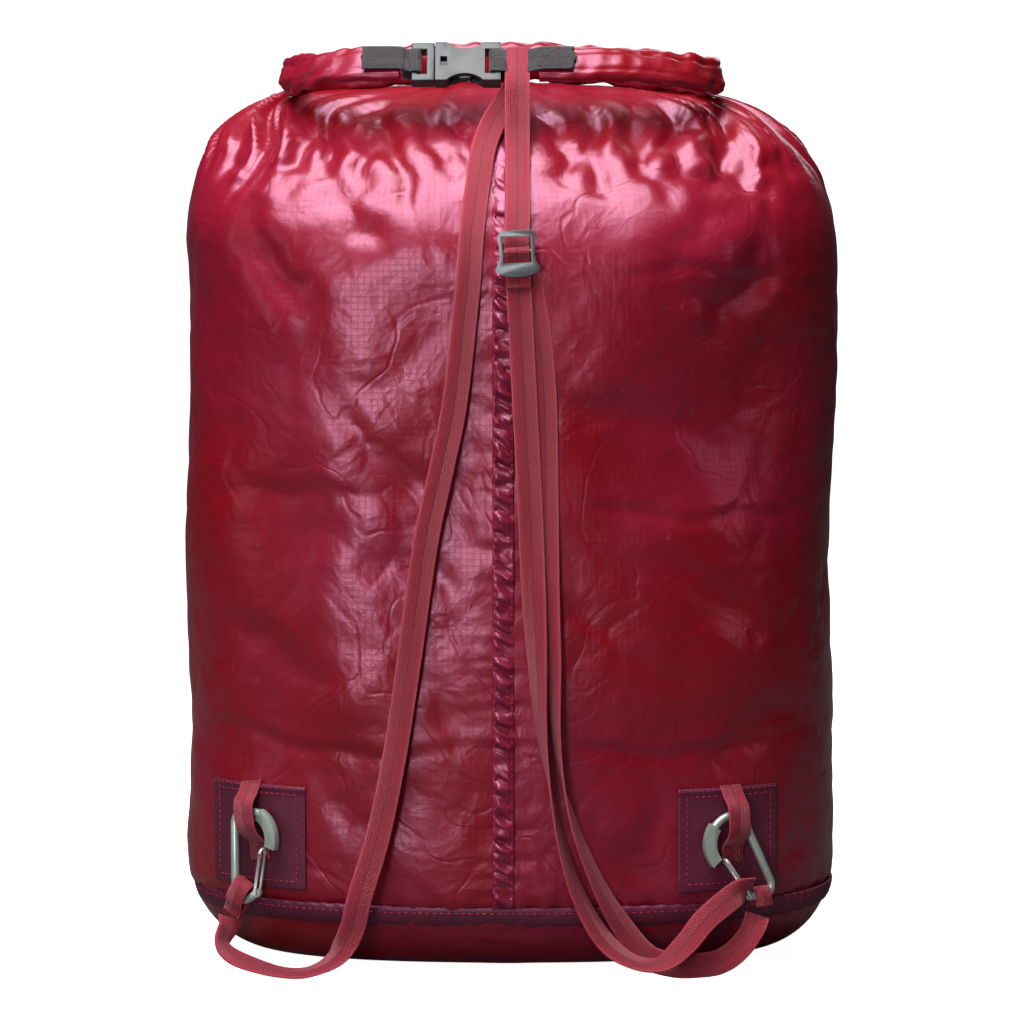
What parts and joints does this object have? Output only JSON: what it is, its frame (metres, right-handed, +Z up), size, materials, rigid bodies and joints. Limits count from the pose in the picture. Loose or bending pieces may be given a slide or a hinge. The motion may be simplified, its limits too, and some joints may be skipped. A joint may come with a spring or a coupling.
{
  "type": "stuff sack",
  "caption": "Roll-top stuff sack, filled and standing, with its collar buckled into a loop and a webbing carry strap clipped to two small carabiners at the foot.",
  "frame": {"origin": "middle of the flat base, on the floor", "axes": "+Z up, +X to the right as seen from the strap side, which faces -Y"},
  "size_m": [0.3362, 0.2177, 0.47],
  "materials": {
    "cloth": "thin coated ripstop nylon, glossy crimson",
    "cloth_dark": "reinforcing ripstop nylon, dark plum, matt",
    "seam": "puckered seam allowance under two rows of stitches",
    "collar": "rolled layers of glossy crimson ripstop nylon",
    "webbing": "thin flat-woven rosy red webbing",
    "black_webbing": "thick woven black webbing",
    "stiffener": "plain black plastic strip",
    "buckle": "moulded grey-black plastic with a slight sheen",
    "carabiner": "satin anodised grey-green",
    "gate": "bright drawn stainless wire",
    "slider": "satin dark grey anodised"
  },
  "bodies": {
    "sack": {"sack_tube": "cloth", "base_panel": "cloth", "back_seam_strip": "seam", "base_seam_tape": "seam", "rolled_collar": "collar", "collar_stiffener": "stiffener", "buckle_tab_left": "black_webbing", "buckle_tab_right": "black_webbing", "buckle_socket": "buckle", "buckle_plug": "buckle", "corner_patch_left": "cloth_dark", "corner_patch_right": "cloth_dark", "patch_loop_left": "webbing", "patch_loop_right": "webbing", "strap_left_run": "webbing", "strap_right_run": "webbing", "strap_right_return": "webbing"},
    "carabiner_left": {"carabiner_left_body": "carabiner", "strap_left_end_loop": "webbing"},
    "gate_left": {"carabiner_left_gate": "gate"},
    "carabiner_right": {"carabiner_right_body": "carabiner", "strap_right_bend": "webbing"},
    "gate_right": {"carabiner_right_gate": "gate"},
    "slider": {"strap_slider": "slider", "strap_slider_wrap": "webbing"},
    "prong_upper": {"buckle_prong_upper": "buckle"},
    "prong_lower": {"buckle_prong_lower": "buckle"}
  },
  "joints": [
    {"name": "carabiner_left_lift", "type": "hinge", "parent": "sack", "child": "carabiner_left", "pos_m": [-0.13337, -0.07634, 0.08185], "axis": [-0.8338, 0.552, 0], "range_deg": [0, 40]},
    {"name": "carabiner_right_lift", "type": "hinge", "parent": "sack", "child": "carabiner_right", "pos_m": [0.11153, -0.08793, 0.0807], "axis": [-0.8935, -0.3783, 0.2419], "range_deg": [0, 40]},
    {"name": "gate_left_swing", "type": "hinge", "parent": "carabiner_left", "child": "gate_left", "pos_m": [-0.12977, -0.08308, 0.04133], "axis": [-0.555, -0.8273, 0.0869], "range_deg": [0, 26], "stiffness_Nm_per_rad": 0.05, "springref_deg": -9.74},
    {"name": "gate_right_swing", "type": "hinge", "parent": "carabiner_right", "child": "gate_right", "pos_m": [0.11919, -0.08855, 0.04114], "axis": [-0.3564, 0.9309, -0.0799], "range_deg": [0, 26], "stiffness_Nm_per_rad": 0.05, "springref_deg": -9.74},
    {"name": "slider_slide", "type": "slide", "parent": "sack", "child": "slider", "axis": [-0.0523, 0, 0.9986], "range_m": [-0.04, 0.008]},
    {"name": "prong_upper_squeeze", "type": "hinge", "parent": "sack", "child": "prong_upper", "pos_m": [-0.0394, -0.04585, 0.46311], "axis": [0, 0.7431, -0.6691], "range_deg": [0, 7], "stiffness_Nm_per_rad": 0.2, "springref_deg": -1.72},
    {"name": "prong_lower_squeeze", "type": "hinge", "parent": "sack", "child": "prong_lower", "pos_m": [-0.0394, -0.05415, 0.45389], "axis": [0, -0.7431, 0.6691], "range_deg": [0, 7], "stiffness_Nm_per_rad": 0.2, "springref_deg": -1.72}
  ]
}
